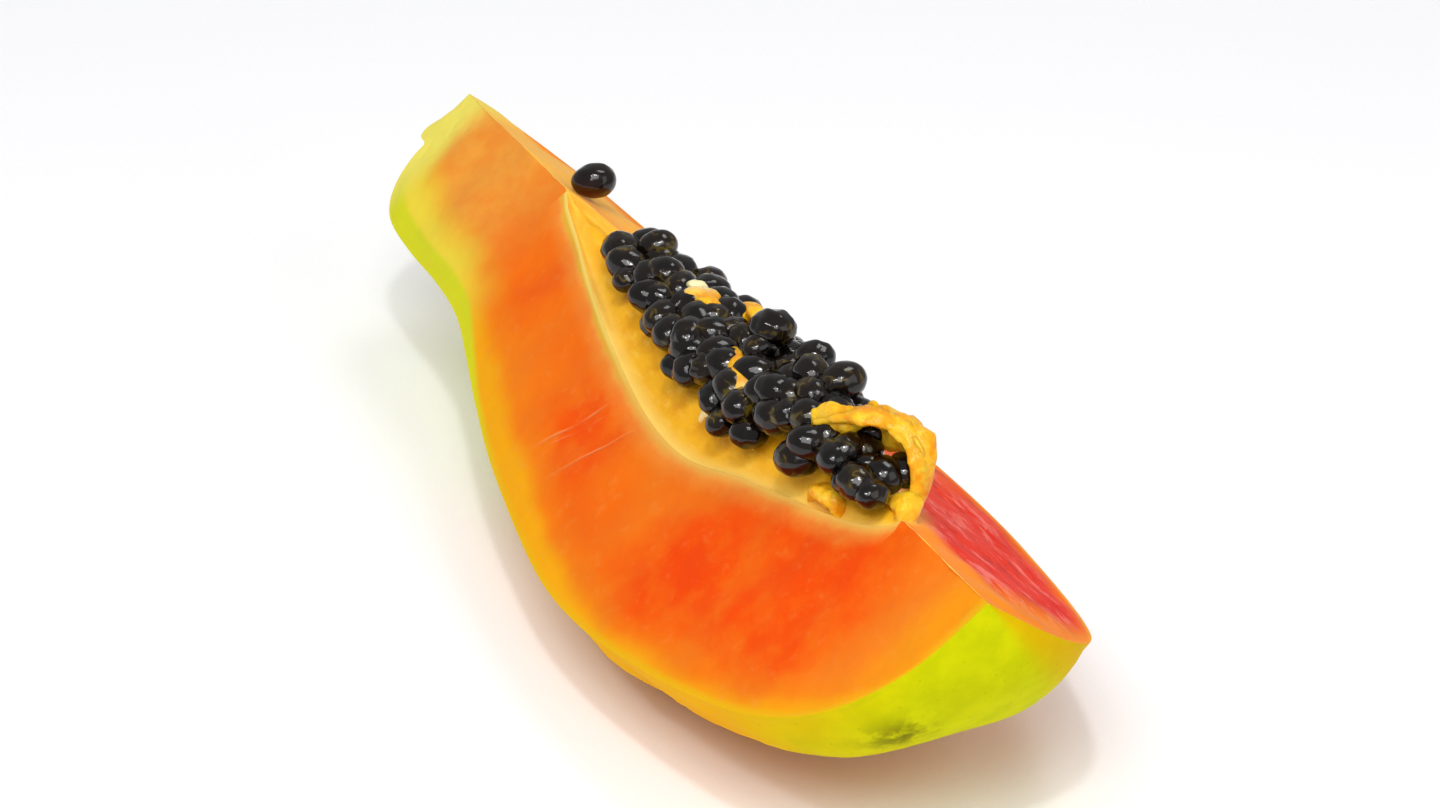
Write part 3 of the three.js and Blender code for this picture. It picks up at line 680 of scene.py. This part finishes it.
def seed_shells(table, rows, columns, seed):
    """Seeds as egg-shaped lofts: an oval profile, blunt at one end, with lengthways wrinkles."""
    count = len(table)
    draw = np.random.default_rng(seed)
    u = np.linspace(0, np.pi, rows + 2)[1:-1][None, :, None]
    v = np.linspace(0, 2 * np.pi, columns, endpoint=False)[None, None]
    length, turn = table[:, 2, None, None], np.radians(table[:, 3])
    tip = draw.uniform(0, 0.22, (count, 1, 1))
    px = -np.cos(u) * (1 + 0.08 * tip * np.cos(u)) + 0 * v
    ring = np.sin(u) * (1 - tip * np.cos(u) * 0.5) + 0 * v
    ridge_count = draw.integers(5, 9, (count, 1, 1))
    shift = draw.uniform(0, 2 * np.pi, (count, 1, 1))
    deep = draw.uniform(0.015, 0.05, (count, 1, 1))
    wrinkle = deep * np.cos(ridge_count * v + shift + 1.6 * np.sin(2 * u + shift)) * np.sin(u)
    wrinkle += 0.6 * deep * np.cos(9 * u + 2 * np.sin(2 * v + shift)) * np.sin(u)
    px, ring = px * (1 + wrinkle * 0.3), ring * (1 + wrinkle)
    local = np.stack([px * length / 2, ring * np.cos(v) * length * SEED_WIDTH / 2,
                      ring * np.sin(v) * length * SEED_HEIGHT / 2], -1)
    tilt = np.radians(draw.uniform(-16, 16, count))
    ct, st = np.cos(tilt)[:, None, None], np.sin(tilt)[:, None, None]
    local = np.stack([local[..., 0] * ct - local[..., 2] * st, local[..., 1],
                      local[..., 0] * st + local[..., 2] * ct], -1)
    c, s = np.cos(turn)[:, None, None], np.sin(turn)[:, None, None]
    spun = np.stack([local[..., 0] * c - local[..., 1] * s,
                     local[..., 0] * s + local[..., 1] * c, local[..., 2]], -1)
    return spun


def placed_seeds(table, rows, columns, seed):
    """Seeds set down on the pulp at their places."""
    height = rest_height(table[:, 0], table[:, 1], table[:, 2]) + table[:, 4]
    middle = np.stack([table[:, 0], table[:, 1], height], -1)
    return lay(seed_shells(table, rows, columns, seed) + middle[:, None, None])


# Seed coat: black-brown jelly, tight and wet, so each seed shows small hard lights. Olive patches
# are partly the jelly's own tint and partly painted sheen, fine dull-gold lines in them are painted
# highlights of the wet jelly, and red-brown lies on the underside of the seed that lies apart.
kernel, tree, where = new_material("wet_black_seed_coat")
blotch = cloudy(tree, where, 4.5, 3, 0.6)
wrinkle = cloudy(tree, where, 1.8, 2, 0.5)
# Wandering lines for the painted highlights in the jelly.
sheen_squiggle = cloudy(tree, where, 2.6, 1, 0.4)
middle = node(tree, "Math", {"operation": "SUBTRACT"}, (sheen_squiggle, 0.5))
from_line = node(tree, "Math", {"operation": "ABSOLUTE"}, (middle,))
sheen_line_mask = node(tree, "MapRange", SMOOTH, (blotch, 0.54, 0.64, 0.0, 0.5))
colour = layer(tree, "070504", "170b05", blotch, 0.35, 0.7)
# Olive patches: partly the jelly's own tint, partly painted sheen.
colour = layer(tree, colour, "3a300c", blotch, 0.58, 0.72, 0.5)
# Painted highlight: fine dull-gold lines stand in for glints in the wet jelly.
colour = layer(tree, colour, "6a5a1a", from_line, 0.07, 0.0, 1.0, sheen_line_mask)
red_side = nearness(tree, where, (41, 4.6, -3.8), 6.4)
colour = node(tree, "Mix", COLOURS, {0: red_side, 6: colour, 7: "641508"}, 2)
bump = node(tree, "Bump", {}, {"Strength": 0.3, "Distance": 0.0004, "Height": wrinkle})
finish(tree, colour, bump, Roughness=0.14, IOR=1.42, Specular_IOR_Level=0.5,
       Coat_Weight=0.15, Coat_Roughness=0.04)

# The top layer has finer seeds than the lower one, which it mostly hides.
top_layer = joined("seed_heap_top", placed_seeds(TOP_SEEDS, 40, 30, 21))
low_layer = joined("seed_heap_lower", placed_seeds(lower, 20, 18, 22))
lone_row = np.array([(LONE_SEED[0], LONE_SEED[1], LONE_LENGTH, LONE_TURN, 0)])
lone_piece = joined("stray_seed", lay(seed_shells(lone_row, 64, 48, 23) + np.array(LONE_SEED)))
for piece, cad_node in ((top_layer, "seed_cluster"), (low_layer, "seed_cluster"),
                        (lone_piece, "lone_seed")):
    piece.data.materials.append(kernel)
    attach(piece, "root")
    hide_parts(cad_node)

# Table: a wide flat sheet of matt white card, for the studio picture only.
FLOOR_SIZE = 4.0
floor_mesh = bpy.data.meshes.new("studio_floor")
h = FLOOR_SIZE / 2
floor_mesh.from_pydata([(-h, -h, 0), (h, -h, 0), (h, h, 0), (-h, h, 0)], [], [(0, 1, 2, 3)])
floor = bpy.data.objects.new("studio_floor", floor_mesh)
bpy.context.scene.collection.objects.link(floor)
paper, tree, where = new_material("matt_white_card")
grain = cloudy(tree, where, 0.6, 2, 0.5)
bump = node(tree, "Bump", {}, {"Strength": 0.02, "Distance": 0.0001, "Height": grain})
finish(tree, layer(tree, "f3f3f5", "f5f5f7", grain, 0.3, 0.7), bump, Roughness=0.7)
floor.data.materials.append(paper)

# Camera: the direction from which the fruit was photographed, turned with the wedge as it lies.
VIEW_AZIMUTH = math.radians(64.4)
VIEW_ELEVATION = math.radians(28.7)
VIEW_DISTANCE = 1.0
FOCAL_LENGTH = 152.0
SENSOR_WIDTH = 36.0
back = turned(np.array([math.sin(VIEW_AZIMUTH) * math.cos(VIEW_ELEVATION),
                        -math.cos(VIEW_AZIMUTH) * math.cos(VIEW_ELEVATION),
                        math.sin(VIEW_ELEVATION)]))
right = np.cross(turned(np.array([0, 0, 1.0])), back)
right /= np.linalg.norm(right)
lift = np.cross(back, right)
ways = np.stack([right, lift], -1)
seen = placed.reshape(-1, 3) @ ways
centre = placed.reshape(-1, 3).mean(axis=0)
aim = centre + ways @ ((seen.min(axis=0) + seen.max(axis=0)) / 2 - centre @ ways)
lens = bpy.data.cameras.new("studio_camera")
lens.lens = FOCAL_LENGTH
lens.sensor_width = SENSOR_WIDTH
camera = bpy.data.objects.new("studio_camera", lens)
place = aim + back * VIEW_DISTANCE
camera.matrix_world = Matrix(
    [[right[i], lift[i], back[i], place[i]] for i in range(3)] + [[0, 0, 0, 1]])
bpy.context.scene.collection.objects.link(camera)
bpy.context.scene.camera = camera


def soft_light(name, azimuth, elevation, distance, size, power):
    """Square soft light that faces the wedge: its direction in degrees, its distance and size in
    metres and its power in watts."""
    data = bpy.data.lights.new(name, "AREA")
    data.size = size
    data.energy = power
    made = bpy.data.objects.new(name, data)
    a, e = math.radians(azimuth), math.radians(elevation)
    out = np.array([math.sin(a) * math.cos(e), -math.cos(a) * math.cos(e), math.sin(e)])
    side = np.cross([0, 0, 1.0], out)
    side /= np.linalg.norm(side)
    top = np.cross(out, side)
    at = aim + out * distance
    made.matrix_world = Matrix(
        [[side[i], top[i], out[i], at[i]] for i in range(3)] + [[0, 0, 0, 1]])
    bpy.context.scene.collection.objects.link(made)
    return made


# Studio light: a big soft key from the front above, a broad fill from the right, a soft one from
# behind, and two small bright lamps for the white points on the seeds.
soft_light("key_light", 52, 54, 1.2, 0.7, 8)
soft_light("fill_light", 115, 32, 1.4, 0.9, 3)
soft_light("back_light", 210, 65, 1.0, 0.3, 1.5)
soft_light("spark_light", 62, 64, 0.9, 0.06, 1.6)
soft_light("spark_light_left", 20, 52, 0.9, 0.06, 0.8)
WHITE_ROOM = 0.4
world = bpy.data.worlds.new("studio_world")
world.use_nodes = True
world.node_tree.nodes["Background"].inputs["Color"].default_value = linear("ffffff")
world.node_tree.nodes["Background"].inputs["Strength"].default_value = WHITE_ROOM
bpy.context.scene.world = world
bpy.context.scene.view_settings.view_transform = "Standard"
